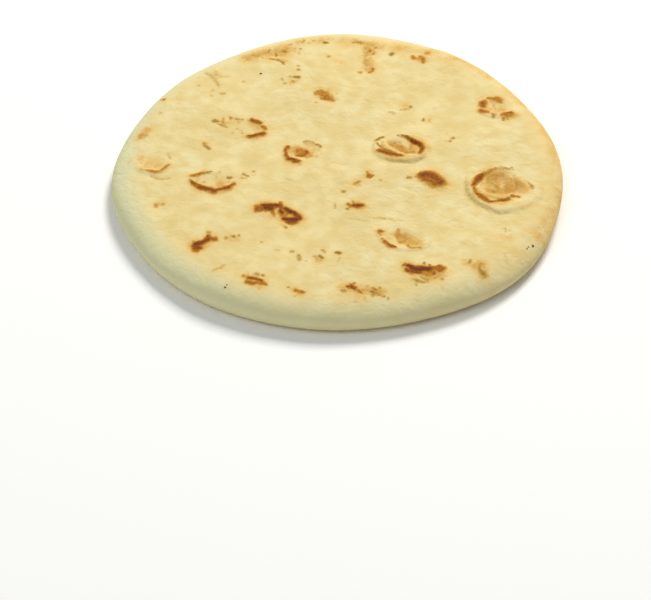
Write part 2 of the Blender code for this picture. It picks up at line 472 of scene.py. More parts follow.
CREASES = (
    (0.30, (21.6, 11.8, 0.6), (23, 10, 0.6), (23.6, 8, 0.6)),
    (0.30, (25.8, 8.6, 0.6), (26.6, 6.6, 0.6), (27.4, 5.4, 0.5)),
    (0.25, (28, 11, 0.6), (28, 9, 0.6), (27.8, 6.6, 0.6)),
    (0.25, (15, 10.4, 0.5), (16.6, 8.4, 0.5), (19.3, 6.3, 0.5), (22.6, 4.4, 0.5)),
    (0.35, (59.8, -13, 0.7), (60.6, -17.4, 0.9), (58.6, -18.2, 0.6)),
    (0.30, (64.4, -8, 0.6), (64.2, -13, 0.7), (64.6, -17, 0.6)),
    (0.30, (68.4, -9, 0.6), (68, -13.5, 0.7), (69, -17, 0.6)),
    (0.30, (73.4, -12.6, 0.5), (74.4, -14.6, 0.6), (74.8, -17, 0.5)),
    (0.30, (62.5, 38.2, 0.7), (63.8, 34.4, 0.7)),
    (0.22, (18, 0.2, 0.6), (21, -0.9, 0.7), (26, -1.3, 0.7), (30.5, -0.7, 0.6)),
    (0.22, (49.4, -13, 0.6), (49.3, -17, 0.7), (51.4, -23, 0.8), (56, -28, 0.8), (60.6, -31.2, 0.7)),
    (0.20, (-74, -9.8, 0.8), (-70, -11, 0.9), (-66.6, -10.6, 0.6)),
    (0.18, (-54.5, -13.8, 0.5), (-50, -14.6, 0.5), (-46, -14, 0.5)),
    (0.15, (-42, 15, 0.9), (-38, 13, 0.9), (-35, 12.5, 0.9)),
    (0.22, (-55.6, 58.9, 1.0), (-53.2, 55.8, 1.1), (-51.2, 52.4, 1.1), (-50, 48.6, 1.0), (-51.5, 44.5, 0.9)),
    (0.28, (12.6, -34.6, 0.6), (17, -34.6, 0.7), (19.5, -35.2, 0.6), (24, -36.4, 0.5)),
    (0.15, (11, 75, 1.2), (11.2, 67, 1.3), (12.8, 60, 1.2)),
    # Fine ones in the plain dough.
    (0.30, (23.4, -15.8, 0.5), (27, -17.5, 0.6), (30, -18.6, 0.5)),
    (0.24, (30, -19.6, 0.5), (34, -21.6, 0.6), (38, -21, 0.5)),
    (0.24, (-21, -11, 0.5), (-18, -12.5, 0.5), (-15.4, -14, 0.4)),
    (0.18, (-22.4, -17.4, 0.5), (-20.6, -18.7, 0.4)),
    (0.18, (-38.6, -20.2, 0.5), (-37, -23, 0.5)),
    (0.25, (-3, -1.2, 0.5), (0, -2, 0.6), (3, -2.2, 0.5)),
    (0.24, (3.4, -34.6, 0.5), (7, -35.4, 0.5), (10, -36.2, 0.5)),
    (0.18, (41.6, -37, 0.6), (44.6, -36, 0.5)),
    (0.18, (38.6, 51.6, 0.5), (37.5, 48.4, 0.5)),
    (0.22, (42, 58.6, 0.6), (45.6, 61, 0.5)),
    (0.18, (26.8, 53, 0.6), (27.8, 49.6, 0.5)),
    (0.18, (-12, 54.6, 0.5), (-10.6, 52.6, 0.5)),
    (0.16, (6, 49.2, 0.5), (10.6, 49.2, 0.5)),
    (0.16, (12.4, 26.8, 0.5), (16, 26.8, 0.5)),
)

blistered = np.zeros(len(points))
for height, *stops in LIPS:
    blistered = np.maximum(blistered, height * stroke(swayed, smooth_line(stops), 4))
for depth, middle, sizes in HOLLOWS:
    inside = np.clip(1 - (((swayed - middle) / sizes) ** 2).sum(1), 0, 1)
    blistered -= depth * inside**1.5
for height, *stops in FOLDS:
    blistered += height * stroke(frayed, smooth_line(stops))
for depth, *stops in CREASES:
    blistered -= depth * stroke(frayed, smooth_line(stops))
points[:, 2] += MM * blistered * top_share
set_points(loaf, points)
print("blisters, mm:", round(float(blistered.min()), 2), "to", round(float(blistered.max()), 2))
# %% [markdown]
# ## Where it was toasted
# The oven's roof browns what stands nearest to it. The brown is drawn with the same lines as the
# relief, and each line starts with how strong it is, from 0 to 1. There are three lists of them.
# Skin that stood high was toasted to a warm red-brown. Thin skin that dried out first was singed,
# which is a drab, olive brown; the same drab list also paints shade along the foot of the large
# lips and on the far wall of one hollow. And round both, the dough took on a blush of gold.

# %% Toast on the blisters
BLISTER_TOAST = (
    # The large eye right of the middle: a red-brown band, the line above it, the right band.
    (0.74, (15.7, 5.3, 0.8), (17, 4.6, 1.2), (19, 3.8, 1.4), (21, 3, 1.2), (23, 2.4, 1.0), (24.8, 2.2, 0.5)),
    (0.64, (17.2, 7.2, 0.6), (18.8, 6, 0.7), (20.4, 4.9, 0.7), (22.2, 4, 0.5)),
    (0.30, (20.6, 10.6, 0.8), (22.4, 10.2, 0.9), (23.8, 10.4, 0.8)),
    (0.34, (25, 10, 0.7), (25.4, 8.2, 0.8), (25, 6.6, 0.7)),
    (0.38, (26.2, 5.8, 0.8), (27.2, 5.4, 0.6)),
    (0.30, (28.6, 5.5, 0.8), (29.8, 5.2, 0.6)),
    (0.52, (25.3, 15.8, 0.3), (27, 15.3, 0.4), (28, 14.1, 0.5), (28.8, 13, 0.6)),
    (0.80, (28.8, 13, 0.5), (30, 11.8, 0.8), (31.5, 10.9, 0.8), (32.6, 9.6, 0.6)),
    (0.68, (32.6, 9.6, 0.7), (33.2, 8.2, 0.8), (33.1, 6.8, 0.8), (32.6, 5.6, 0.8), (31.7, 4, 0.6)),
    (0.28, (29.4, 10.8, 1.2)),
    # The largest, near the right edge.
    (0.70, (56, -8.6, 0.5), (54.8, -10, 1.2), (54, -11.5, 1.2), (53, -13.3, 1.0), (52.4, -15.2, 0.7)),
    (0.50, (52.3, -16.8, 0.5), (52.8, -18.8, 0.5), (53.3, -20, 0.5)),
    (0.66, (53.4, -20, 0.6), (55, -21.8, 1.0), (57, -24, 1.0), (58.4, -24.8, 0.9), (60, -24.6, 0.5)),
    (0.66, (60.6, -24.2, 0.5), (62, -23.6, 1.0), (63.6, -23.4, 1.0), (65, -22.6, 0.7), (65.8, -22, 0.4)),
    (0.52, (67, -21, 0.5), (68.4, -20.9, 0.5), (69.6, -21.2, 0.3)),
    (0.28, (56.8, -8.2, 0.7), (58.4, -6.8, 0.7), (59.8, -5.4, 0.6)),
    (0.22, (61.4, -8.6, 0.5), (61.8, -12.6, 0.6), (61.9, -16, 0.6)),
    (0.22, (67, -10, 0.5), (67.6, -12.6, 0.5), (67.4, -15, 0.5)),
    (0.14, (64.6, -16.6, 1.6)),
    # Far right.
    (0.62, (58.6, 38.3, 1.1), (59, 36.8, 1.3), (58.8, 35.4, 1.0)),
    (0.42, (60.2, 39.5, 0.8), (60.2, 37.6, 0.8)),
    (0.46, (61.4, 41.3, 0.7), (62.6, 41, 0.9), (63.8, 40.9, 1.0), (65, 40.4, 1.2), (66, 38.9, 0.8)),
    (0.58, (58, 32.6, 0.9), (59, 32.2, 1.1), (60.4, 31.6, 0.9)),
    (0.68, (67.3, 30.7, 0.6), (68, 30.7, 0.6), (69.5, 30.6, 0.7)),
    (0.50, (66.8, 29.4, 1.0), (68.5, 29.4, 1.3), (70, 29.8, 1.0)),
    (0.30, (68.4, 27.4, 0.5), (68.5, 26.6, 0.3)),
    # Left of the middle: a broken ring, and a smear inside it.
    (0.64, (-20.5, 9.4, 0.6), (-20.9, 8.6, 0.8), (-21.4, 7.8, 0.8), (-21.5, 6.6, 0.6)),
    (0.68, (-21.4, 5.6, 0.5), (-21.2, 4.4, 0.7), (-21, 3.4, 0.7), (-20.6, 2.2, 0.7)),
    (0.82, (-20, 1.4, 0.9), (-19, 1.2, 1.1), (-17.8, 0.6, 0.9)),
    (0.70, (-18.4, -0.1, 0.7), (-17.2, -0.4, 0.9), (-16.2, -0.2, 0.8)),
    (0.54, (-16.8, 7.2, 0.6), (-16.7, 6.4, 0.5)),
    (0.44, (-16, 7, 1.6), (-14.6, 5.4, 2.2), (-13.6, 4.4, 1.6)),
    (0.66, (-13.4, 6.8, 0.7), (-13.2, 5.6, 0.9), (-13.7, 4.3, 0.7)),
    (0.62, (-17, 4, 0.4), (-15.4, 3.6, 0.7), (-14.2, 3.5, 0.8)),
    (0.22, (-13, 3, 1.0), (-11.4, 3.4, 0.9)),
    # Left, a wide one.
    (0.54, (-58.2, -9.3, 0.6), (-57, -9, 0.8), (-55.5, -8.3, 0.8), (-54, -7.6, 0.7)),
    (0.68, (-57.6, -13.2, 0.7), (-56.3, -14.8, 1.0), (-55.3, -15.4, 1.1)),
    (0.78, (-54.5, -16.4, 1.1), (-53, -16.9, 1.3), (-51.5, -17.4, 1.3), (-50.3, -17.9, 1.3), (-49, -18.6, 1.2)),
    (0.76, (-49, -18.6, 1.1), (-47.6, -17.8, 0.9), (-46, -17, 0.9), (-44.6, -16.8, 1.2), (-43.5, -16.3, 1.1)),
    (0.62, (-43, -15.8, 0.8), (-42, -15, 0.6), (-41.3, -14.5, 0.5)),
    (0.25, (-50, -14.9, 0.4), (-48, -14.8, 0.4), (-46, -14.6, 0.3)),
    # Near the left edge.
    (0.40, (-75.6, -6, 0.7), (-74, -6.8, 0.8), (-72.3, -7.2, 0.8), (-71, -6.9, 0.6)),
    (0.46, (-70.2, -6.2, 0.5), (-69.2, -5.1, 0.7), (-68.3, -4.1, 0.5), (-67.5, -3.1, 0.4)),
    # Far left, and the spots beside it.
    (0.64, (-35.6, 27, 0.7), (-34.8, 26.3, 0.9), (-33.2, 25.8, 0.9), (-32, 25, 0.8)),
    (0.50, (-31, 22.8, 0.5), (-30.3, 22, 0.6), (-30, 20.9, 0.7)),
    (0.74, (-36.5, 16.6, 0.7), (-35.3, 16.5, 0.9), (-34, 16.8, 0.9), (-33, 17.4, 1.2), (-31, 17.8, 1.1)),
    (0.34, (-47.2, 27.3, 0.3), (-47.1, 25.8, 0.5), (-47, 24.6, 0.4)),
    # In front of the middle, a shallow one.
    (0.72, (15.2, -42, 0.8), (15.8, -42.1, 0.7)),
    (0.34, (15.1, -43.4, 0.6), (15.2, -44.6, 0.4)),
    (0.62, (17, -48.1, 0.6), (18, -49.2, 0.6), (19, -50.2, 0.6), (20, -50.8, 0.6), (21, -51.3, 0.3)),
    (0.36, (22.4, -48, 0.5), (24.2, -47.3, 0.9)),
    (0.24, (22, -41.2, 0.7), (22, -43.5, 0.7), (22, -46.8, 0.6)),
    (0.20, (24.6, -43.6, 0.7), (25, -45.6, 0.7)),
    (0.18, (27, -47, 0.9), (28.6, -48.8, 0.8)),
    (0.36, (25.5, -50, 0.5), (26.2, -51.3, 0.5), (28, -51.6, 0.6), (30, -51.3, 0.6)),
)

# %% Scorches between the blisters
SCORCHES = (
    # In the middle: a broken arch of char with a ring at its right end.
    (0.62, (-31.6, -28.2, 1.3), (-29, -28.4, 1.7), (-26.4, -28.2, 1.6), (-24.4, -27, 0.9)),
    (0.93, (-29.6, -26.9, 1.0), (-27, -26.9, 1.2), (-25.4, -26.8, 1.0), (-23.8, -26.8, 0.9)),
    (0.90, (-28.8, -28.4, 1.2), (-26.4, -28.5, 1.2)),
    (0.62, (-32.4, -29.6, 0.7), (-31.2, -29.6, 0.8), (-30, -29.4, 0.7)),
    (0.50, (-26, -30.2, 0.7), (-25.6, -31.8, 0.6)),
    (0.62, (-22.9, -25, 0.6), (-22.7, -26.6, 0.9), (-22.4, -28.2, 0.9)),
    (0.86, (-22.8, -29.2, 0.6), (-22.6, -30.4, 0.7)),
    (0.46, (-22.2, -31.6, 1.2), (-21.6, -32.2, 1.0), (-20.6, -30.8, 0.8)),
    (0.94, (-21, -28.2, 0.9), (-20.2, -29.2, 1.2), (-19.2, -30, 1.1), (-18.2, -30.6, 0.9)),
    (0.86, (-17.5, -30.9, 1.0), (-16.8, -32, 1.2), (-16, -33, 1.1), (-15.5, -34, 0.8)),
    (0.92, (-21.5, -33.8, 0.9), (-20, -34.3, 1.1), (-18.6, -34.6, 1.3), (-17, -34.4, 1.1)),
    (0.72, (-20, -35.6, 0.9), (-18.6, -36.2, 1.1), (-17.4, -36, 0.9)),
    # A raised, reddish bump of two lobes.
    (0.76, (32.4, -9.2, 1.9), (34.4, -8.6, 2.3), (36.4, -9.2, 2.3), (38, -11.2, 2.4), (39.2, -12.8, 2.2)),
    (0.60, (33.4, -11, 1.9), (35.4, -11.6, 2.2), (37, -13.2, 2.0)),
    (0.26, (34.6, -13.8, 1.6), (36.4, -15, 1.4)),
    # Behind the middle, an orange one.
    (0.46, (-8.6, 43.6, 1.7), (-7, 43.4, 2.2), (-5.8, 41.8, 2.0), (-4.6, 40.8, 1.4)),
    (0.46, (-7.4, 45.2, 0.9), (-6.8, 44.2, 1.0)),
    (0.50, (-7, 39.9, 0.7), (-5, 39.8, 0.9), (-3.6, 39.6, 1.0), (-2.6, 38.8, 0.8)),
    (0.26, (-4.4, 42, 1.4), (-3, 40.6, 1.2)),
    # Front left, slanting, with a lobe at its right.
    (0.84, (-54.9, -49.9, 1.3), (-54.2, -49, 1.7), (-53, -48.5, 1.5), (-51.8, -47.7, 1.1), (-50.2, -46.7, 0.9)),
    (0.74, (-54.8, -51.2, 1.1), (-53.8, -51.2, 1.2), (-53, -51.2, 0.9)),
    (0.56, (-55.1, -52.5, 0.7), (-53.8, -52.6, 0.7)),
    (0.70, (-50.2, -44.2, 0.4), (-50.1, -45.2, 0.6), (-51, -46, 0.5)),
    (0.62, (-49.5, -45.5, 0.8), (-48.6, -46.2, 0.9), (-47.5, -46.4, 0.7)),
    (0.48, (-47.3, -45.3, 0.5)),
    # Front of the middle, short.
    (0.54, (3.3, -26, 0.7), (4, -27, 0.9)),
    (0.42, (5, -24.3, 0.3), (5.3, -25.2, 0.5)),
    (0.80, (5.3, -26.8, 0.9), (6.3, -27, 1.0), (7.3, -26.9, 1.2), (8.3, -26.7, 0.9)),
    # Front right, long and torn at its lower edge.
    (0.93, (25.2, -61.4, 0.8), (26.5, -62.2, 1.2), (27.6, -63.2, 1.5), (29.5, -63.4, 1.6), (33.2, -63.5, 1.2)),
    (0.60, (23.6, -61.3, 0.5), (24.2, -60.4, 0.6)),
    (0.76, (24.5, -63.9, 0.6), (27, -65, 0.6), (29.5, -65.2, 0.7)),
    (0.58, (34.4, -63.4, 1.4), (36.6, -63.4, 1.3), (38.4, -63.4, 1.0)),
    (0.42, (26.4, -64.8, 1.2), (30, -65.4, 1.2), (34, -65.2, 1.2)),
    (0.66, (33.2, -61.4, 0.4)),
    (0.64, (36.8, -62.1, 0.6), (37.6, -62.3, 0.7)),
    (0.54, (38.8, -63.2, 0.8), (37.6, -65, 0.6), (36.8, -64.6, 0.5)),
    (0.70, (34.8, -65.4, 0.6), (34.5, -66.1, 0.5)),
    (0.40, (32.4, -66.8, 0.6), (33.6, -67, 0.6)),
    (0.28, (36.3, -67.2, 0.4), (34.8, -68.4, 0.5)),
    # Front left, a double streak.
    (0.74, (-33.7, -68.6, 0.9), (-32.5, -68.8, 0.7), (-31.2, -69.1, 0.6), (-30, -69.4, 0.7), (-29.2, -69.8, 0.5)),
    (0.60, (-34.8, -70.3, 0.5), (-33.6, -70.9, 0.6), (-32.6, -71.3, 0.7), (-31.4, -71.2, 0.6)),
    (0.50, (-30, -70.7, 0.8), (-28.8, -71.1, 0.8), (-27.6, -72, 0.4)),
    (0.34, (-34.5, -67.8, 0.6)),
    # Along the front.
    (0.72, (2.8, -72.9, 0.7), (4, -73, 1.0), (5.3, -73.8, 0.8)),
    (0.66, (3.6, -72.1, 0.6)),
    (0.58, (6.8, -74.9, 0.4), (7.4, -75.6, 0.5)),
    (0.44, (13.2, -74.3, 0.4), (12.2, -73.4, 0.4)),
    (0.50, (-16.6, -74.8, 0.6), (-15.6, -75.3, 0.7), (-14.4, -75.5, 0.6), (-13.6, -75.9, 0.4)),
    (0.24, (-16.6, -77.5, 0.4)),
    # Behind: spots and smears near the back edge.
    (0.44, (13, 73.2, 0.8), (13.3, 74.4, 0.6)),
    (0.44, (14.3, 61, 0.5), (14, 59.8, 0.6), (13.3, 58.7, 0.6), (12.6, 58, 0.6)),
    (0.42, (15.6, 75.6, 0.5)),
    (0.54, (31.5, 69.8, 0.6), (31.6, 68.4, 0.7)),
    (0.50, (34.6, 69, 1.1), (35.3, 67.8, 1.0), (35.6, 66, 0.8), (35.5, 65.2, 0.6)),
    (0.30, (33.4, 68.2, 0.9)),
    (0.46, (37, 71.9, 0.8), (37.5, 71.8, 0.6)),
    (0.30, (-36.1, 70.4, 0.7)),
    (0.28, (-33.6, 71.4, 0.6)),
    (0.46, (-26.3, 70.2, 0.5), (-26.5, 71.6, 0.4)),
    (0.50, (-23.3, 73.2, 0.9), (-22.6, 73.1, 0.7)),
    (0.42, (-14.5, 81.6, 0.4), (-14.6, 80.8, 0.4)),
    (0.22, (-15.3, 79.5, 1.0)),
    (0.28, (-10.6, 81, 0.6)),
    (0.36, (-29, 68.2, 0.5), (-27, 67.3, 0.5), (-25.3, 66.6, 0.5)),
    (0.30, (-16.8, 62.6, 0.5)),
    (0.55, (-72.2, 41, 0.6)),
    # Left edge, and one spot on its own at the front left.
    (0.20, (-79.8, 16.8, 1.4), (-78, 16.4, 1.0)),
    (0.24, (-79.4, 15.2, 0.9)),
    (0.18, (-77.4, 20.6, 1.0), (-77.2, 19, 1.0)),
    (0.32, (-71, -26.6, 0.8), (-71, -27.8, 0.7)),
    (0.24, (-68.5, -26.4, 0.8)),
    # Between the bump and the short one.
    (0.56, (11.3, -8.6, 0.5), (11.6, -9.8, 0.8), (12.6, -9.5, 0.6)),
    (0.34, (6, -13.7, 0.7), (7.4, -12.4, 0.7)),
)

# %% Dry, singed skin, and painted shade
SINGED_AND_SHADE = (
    # Blisters: hooks and hollows, and drab lines of painted shade round the foot of the large ones.
    (0.62, (17.4, 15, 0.4), (16, 14.1, 0.5), (15, 12.9, 0.6), (14.7, 12.1, 0.3)),
    (0.56, (15, 10.3, 0.3), (15.7, 9.2, 0.5), (16.8, 8, 0.5)),
    (0.35, (23.7, 16.3, 0.5)),
    (0.24, (24.6, 9.8, 0.8), (25.4, 7.6, 0.9), (27, 5.8, 0.9)),
    # Painted shade on the far wall of the large eye's hollow.
    (0.18, (20.4, 11.8, 1.5), (24, 12.6, 1.3)),
    (0.20, (22.4, 9.4, 1.2)),
    (0.24, (29, 5.4, 1.0)),
    # Painted shade along the foot of the lips of the two large blisters and of the mound beside the largest.
    (0.17, (18.8, 0.4, 0.6), (20.5, -0.6, 0.8), (24, -1, 1.0), (27, -1.2, 1.0), (30, -0.7, 0.9), (33.8, 2.2, 0.6)),
    (0.17, (50.1, -9.5, 0.6), (49.4, -13, 0.9), (49.3, -17, 1.0), (50, -20.5, 1.0), (52, -23.8, 1.1), (54.6, -26.6, 1.1)),
    (0.17, (54.6, -26.6, 1.1), (57.2, -28.9, 1.1), (59.2, -30.6, 1.0), (62, -31.2, 0.8), (65, -30.9, 0.6)),
    (0.10, (77.6, -14, 0.8), (79, -17, 1.1), (78.8, -20, 1.3), (77, -22.8, 1.4), (72.4, -27.6, 1.3), (70.5, -29.2, 1.1)),
    (0.22, (58, -6.6, 0.6), (59.5, -5.2, 0.6), (61, -4.4, 0.5)),
    (0.26, (63, -3.7, 0.5), (65, -4.2, 0.4), (66.5, -5.1, 0.4), (68, -4.4, 0.3)),
    (0.45, (61.5, -4.3, 0.3)),
    (0.48, (68, -4.3, 0.4)),
    (0.42, (60.2, -16.8, 1.2)),
    (0.12, (57.5, -16.4, 1.4)),
    (0.17, (58.2, -12, 0.8), (58.6, -9, 0.6)),
    (0.16, (64.6, -5, 0.6), (64.4, -8.6, 0.6)),
    (0.12, (63, -11, 0.6), (63.4, -14.4, 0.6)),
    (0.20, (54.2, -17, 0.9)),
    (0.30, (73.9, -12.8, 0.3), (74.6, -14.5, 0.5), (75.3, -16.5, 0.5)),
    (0.42, (62.4, 30.8, 0.5), (62.6, 29.4, 0.8), (62.8, 28.4, 0.6)),
    (0.24, (64, 30.8, 0.5), (64.1, 29.6, 0.4)),
    (0.45, (66.6, 27.2, 0.5), (66.7, 26.3, 0.5)),
    (0.20, (58.6, 42.2, 0.4), (59.6, 42.1, 0.3)),
    (0.20, (57.2, 36, 0.6)),
    (0.18, (63, 37.2, 0.6), (63.8, 34.2, 0.6)),
    (0.28, (-14, 12.7, 0.6), (-12.4, 12.6, 0.8), (-11.2, 12.4, 0.5), (-10.5, 11.5, 0.4)),
    (0.42, (-9.4, 10.3, 0.5), (-8.6, 10.2, 0.6), (-7.7, 9.6, 0.5), (-7.5, 8.7, 0.4)),
    (0.18, (-10.3, 6, 0.4)),
    (0.14, (-11.6, 4, 1.0), (-9, 3, 0.7)),
    (0.44, (-54, -7.5, 0.7), (-52.5, -7.2, 0.7), (-51.3, -6.6, 0.6), (-50.4, -6.3, 0.4)),
    (0.58, (-58.4, -11.9, 0.5)),
    (0.46, (-58, -12.8, 0.5), (-57.2, -13.6, 0.5)),
    (0.34, (-41.1, -13.8, 0.5), (-41.6, -12.8, 0.4)),
    (0.26, (-47.2, -6.8, 0.5)),
    (0.18, (-48.4, -8.6, 0.4), (-48.5, -10, 0.4)),
    (0.22, (-53.2, -12.6, 0.7)),
    (0.60, (-43.4, -10, 0.5), (-42.6, -10, 0.5)),
    (0.32, (-78.3, -5.2, 0.6), (-76.5, -5.7, 0.7), (-75, -6.4, 0.5)),
    (0.20, (-68.5, 4.5, 0.3), (-67.6, 2.8, 0.6), (-66.8, 1.2, 0.5)),
    (0.14, (-80.7, -0.5, 0.5), (-80.4, -2.5, 0.5)),
    (0.12, (-83.9, -0.5, 0.5), (-82.8, 1.6, 0.7), (-81.4, 2.6, 0.8)),
    # Painted shade along the foot of the lip near the left edge.
    (0.20, (-74, -9.6, 0.5), (-71.5, -10.8, 0.7), (-69.5, -11.3, 0.8), (-67.3, -11.1, 0.6), (-66.5, -10.4, 0.3)),
    (0.52, (-50.6, 25.7, 0.9), (-49.8, 25.7, 0.8)),
    (0.30, (-49, 24, 0.5), (-47.5, 23.3, 0.6), (-46.2, 22.6, 0.6), (-45.3, 22.3, 0.4)),
    (0.34, (-44.5, 28.3, 0.5), (-44.2, 27.6, 0.6)),
    (0.33, (-42.2, 27.5, 0.6), (-40.8, 27.2, 0.5), (-39.2, 27, 0.5)),
    (0.22, (-43, 18.7, 0.6)),
    (0.24, (-39.2, 18.6, 0.6)),
    (0.15, (-41.5, 21.8, 0.4), (-40, 20.5, 0.4), (-39, 19.8, 0.3)),
    (0.14, (-34.7, 21.3, 0.7)),
    (0.62, (16, -46.8, 0.5)),
    (0.18, (22, -40.8, 0.7), (22, -42.5, 0.7)),
    (0.18, (30.8, -50, 0.4), (33, -49.3, 0.4), (34, -48.6, 0.4)),
    # Painted shade in the crease behind the shallow blister in front of the middle.
    (0.17, (13, -34.6, 0.6), (17, -34.6, 0.7), (19.5, -35.2, 0.6), (21.5, -36.1, 0.4)),
    # Round the scorches.
    (0.42, (-21.6, -38.2, 0.4), (-20.9, -38.8, 0.6)),
    (0.45, (27, -10.4, 0.8), (27.6, -10.4, 0.7)),
    (0.38, (29.9, -9.9, 0.4)),
    (0.50, (31.4, -10.6, 0.5), (31.5, -9.6, 0.5)),
    (0.60, (41.3, -12.2, 0.5), (41.4, -13.4, 0.5)),
    (0.55, (35.4, -10.1, 0.4)),
    (0.40, (-55.7, -47.5, 0.6)),
    (0.32, (-50.2, -42.5, 0.9)),
    (0.66, (-47.8, -46.8, 0.6)),
    (0.42, (2.8, -28.6, 0.5)),
    (0.20, (6.8, -28.8, 0.5)),
    (0.50, (31.2, -60.2, 0.6)),
    (0.32, (30, -67.8, 0.4), (31.2, -68.4, 0.5), (32.5, -69, 0.4)),
    (0.36, (28, -69.6, 0.5), (29.3, -69.9, 0.6), (30.8, -70.4, 0.5), (32.5, -70.6, 0.3)),
    (0.28, (28, -70.6, 0.4), (28.2, -72, 0.4)),
    (0.24, (27.2, -68.8, 0.4)),
    (0.42, (37.6, -68.9, 0.6)),
    (0.18, (37.5, -73, 0.6)),
    (0.50, (-35.9, -67, 0.6)),
    (0.55, (-29, -66.8, 0.5)),
    (0.36, (-31.6, -66.2, 0.9), (-31, -66.4, 0.8)),
    (0.50, (-19.2, -73.2, 0.4)),
    (0.38, (0.8, -74.7, 0.7), (1.6, -75, 0.6)),
    (0.52, (4.8, -71.2, 0.5), (5.3, -70.9, 0.4)),
    (0.34, (8.3, -74.3, 0.4)),
    (0.30, (8.7, -78.3, 0.6)),
    (0.18, (5.5, -80, 0.7)),
    (0.30, (10.2, -72.6, 0.5)),
    (0.52, (11.4, -75, 0.5), (12.4, -75.6, 0.7)),
    (0.32, (14.4, -73.4, 0.6)),
    (0.38, (11.8, -76.8, 0.5), (13.5, -76.3, 0.4), (14.5, -77, 0.5), (15.6, -77.7, 0.5), (17.4, -78.5, 0.4)),
    # Behind, with fine specks in the golden patch at the left.
    (0.28, (-38.4, 67.6, 0.5)),
    (0.26, (-34.6, 69.6, 0.6), (-33.4, 70.2, 0.5)),
    (0.22, (-30.8, 73.4, 0.5)),
    (0.26, (-27.6, 75.8, 0.5), (-26.4, 76.4, 0.5)),
    (0.24, (-24.6, 70.4, 0.6)),
    (0.30, (-21, 77.4, 0.5), (-19.8, 77.8, 0.5)),
    (0.24, (-18.4, 75.2, 0.5)),
    (0.24, (-12.6, 79.2, 0.6)),
    (0.22, (-21.4, 72, 0.5)),
    (0.42, (6, 79.6, 0.5), (7.5, 79.8, 0.7), (8.8, 79.7, 0.7), (9.8, 78.8, 0.6)),
    (0.18, (6.2, 82.3, 0.6), (8.5, 82.5, 0.6)),
    (0.36, (14.3, 71, 0.6), (15, 72, 0.4)),
    (0.66, (22.3, 71.5, 0.9)),
    (0.18, (11.3, 75, 1.1), (11.2, 71, 1.2), (11, 67, 1.1), (11.2, 63.5, 1.0), (12.5, 61, 1.2)),
    (0.14, (18.8, 76, 0.4), (18.6, 74.4, 0.4)),
    (0.36, (8.9, 58, 0.8)),
    (0.12, (8.6, 68, 0.5), (8.6, 69.5, 0.4)),
    (0.14, (9.5, 62, 0.8)),
    (0.18, (37.8, 68, 0.5)),
    (0.38, (-29.4, 74.5, 0.4), (-29.6, 72.5, 0.4)),
    (0.22, (-26.6, 74, 0.4), (-26.5, 72, 0.4)),
    (0.20, (-32, 69, 0.6)),
    (0.14, (-20.3, 75.8, 0.6)),
    (0.38, (-16.3, 74.8, 0.4)),
    (0.20, (-16.6, 73, 0.4), (-17, 71, 0.4)),
    (0.20, (-14.6, 77, 0.4)),
    (0.56, (-5.8, 79.3, 0.7), (-5, 79.4, 0.7)),
    (0.42, (-24.8, 66.3, 0.5), (-23.7, 65.3, 0.6), (-23, 64.2, 0.6)),
    (0.18, (-34.3, 65.8, 0.6)),
    (0.14, (-39.8, 66, 0.7)),
    (0.38, (-4.2, 68.9, 0.7)),
    (0.44, (-16.8, 59.9, 0.7)),
    (0.54, (-18.4, 54.9, 0.7), (-17, 54.7, 0.9)),
    (0.24, (-20.8, 55.5, 0.4), (-19.5, 55.2, 0.5)),
    (0.36, (-19.2, 52.2, 0.5), (-18.9, 51.4, 0.5)),
    (0.26, (-23.7, 54.1, 0.6), (-23.4, 52.8, 0.4)),
    (0.24, (-22.5, 50.8, 0.8)),
    (0.14, (-24.8, 53.6, 0.4)),
    (0.14, (-21.3, 47, 0.3)),
    (0.12, (-11.5, 54, 0.4), (-11, 53, 0.3)),
    (0.20, (-55.6, 58.9, 0.8), (-53.2, 55.8, 1.0), (-51.2, 52.4, 0.9), (-50, 49, 0.7)),
    (0.15, (-51.6, 59, 1.4), (-49.6, 56, 1.2), (-46, 55.4, 1.0)),
    (0.20, (-52.2, 46, 0.7)),
    (0.24, (-48.3, 43.9, 0.8), (-47.4, 43.9, 0.7)),
    (0.24, (-52.4, 42.3, 0.7)),
    (0.30, (-57.9, 49.3, 0.4)),
    (0.24, (-39.5, 52.4, 0.7)),
    (0.14, (-58.2, 55.3, 0.8)),
    (0.20, (-9.5, 37.4, 0.8)),
    (0.20, (-0.9, 43.4, 0.5)),
    (0.14, (-0.8, 39.5, 0.8)),
    (0.18, (-72.6, 30.4, 1.2)),
    # Small flecks all over.
    (0.42, (29.3, 35.4, 0.7)),
    (0.24, (28.2, 33.9, 0.8), (26.5, 33.9, 0.7), (25.2, 33.7, 0.5)),
    (0.20, (20.4, 31.7, 0.5), (22.4, 31.3, 0.7), (22, 30, 0.4)),
    (0.36, (34.2, 26.3, 0.7), (34.4, 27.6, 0.5)),
    (0.18, (36.7, 26, 0.6), (36.8, 27, 0.5)),
    (0.38, (45.6, 15.4, 0.6), (45, 14.8, 0.4)),
    (0.38, (44.2, 13.2, 0.6)),
    (0.16, (42.6, 13, 0.6)),
    (0.18, (43.4, 18, 0.4)),
    (0.36, (-54, 11.4, 0.8)),
    (0.46, (-53.9, 10.3, 0.5), (-52.8, 9, 0.6), (-51.8, 7.9, 0.6)),
    (0.36, (-38, -7.7, 0.6), (-36.8, -8.4, 0.5), (-35.8, -9, 0.4)),
    (0.22, (-38.4, -10.2, 0.7), (-37, -10.3, 0.5)),
    (0.32, (-33.9, -6, 0.6)),
    (0.20, (-33.8, -8.2, 0.5)),
    (0.40, (10.8, -7, 0.4), (11, -8.2, 0.4)),
    (0.24, (7.8, -14.4, 0.5)),
    (0.26, (15.7, -12.3, 0.6)),
    (0.16, (18, -13.2, 0.5)),
    (0.46, (1.6, -18.4, 0.7)),
    (0.22, (-2.1, -25.2, 0.3), (-2.1, -27.8, 0.4)),
